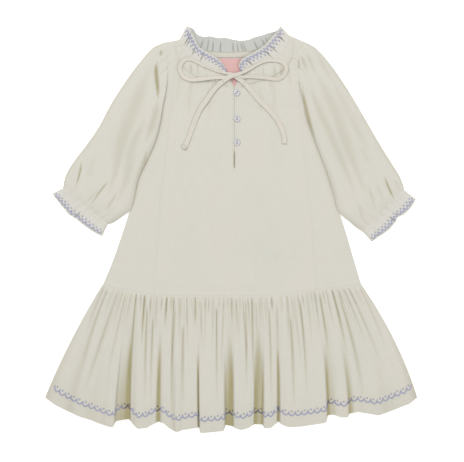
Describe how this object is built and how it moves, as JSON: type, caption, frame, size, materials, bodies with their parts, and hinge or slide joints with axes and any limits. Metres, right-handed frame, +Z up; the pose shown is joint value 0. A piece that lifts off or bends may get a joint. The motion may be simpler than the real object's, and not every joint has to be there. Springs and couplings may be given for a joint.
{
  "type": "child's ramie dress laid flat",
  "caption": "Child's woven dress laid flat: puffed sleeves with ruffled cuffs, ruffled drawstring neck with a bow, buttoned slit and a gathered hem tier.",
  "frame": {"origin": "centre of the dress as laid out, on the surface it lies on", "axes": "+X to the right of the dress as seen from above, +Y towards the neck, +Z up through the layers"},
  "size_m": [0.6333, 0.6916, 0.0149],
  "materials": {
    "ivory_cloth": "matte",
    "embroidered_trim": "matte",
    "tape": "matte",
    "pink_label": "satin",
    "pearl_button": "gloss"
  },
  "bodies": {
    "root": {"back_panel": "ivory_cloth", "back_skirt": "ivory_cloth", "front_centre_panel": "ivory_cloth", "front_side_left": "ivory_cloth", "front_side_right": "ivory_cloth", "front_skirt": "ivory_cloth", "neck_casing_back": "ivory_cloth", "neck_casing_left": "ivory_cloth", "neck_casing_right": "ivory_cloth", "sleeve_left": "ivory_cloth", "sleeve_right": "ivory_cloth", "yoke_left": "ivory_cloth", "yoke_right": "ivory_cloth", "cuff_ruffle_left": "embroidered_trim", "cuff_ruffle_right": "embroidered_trim", "neck_ruffle_back": "embroidered_trim", "neck_ruffle_left": "embroidered_trim", "neck_ruffle_right": "embroidered_trim", "bow_knot": "tape", "loop_left": "tape", "loop_right": "tape", "tail_left": "tape", "tail_right": "tape", "label": "pink_label", "button_1": "pearl_button", "button_2": "pearl_button", "button_3": "pearl_button"}
  },
  "joints": []
}
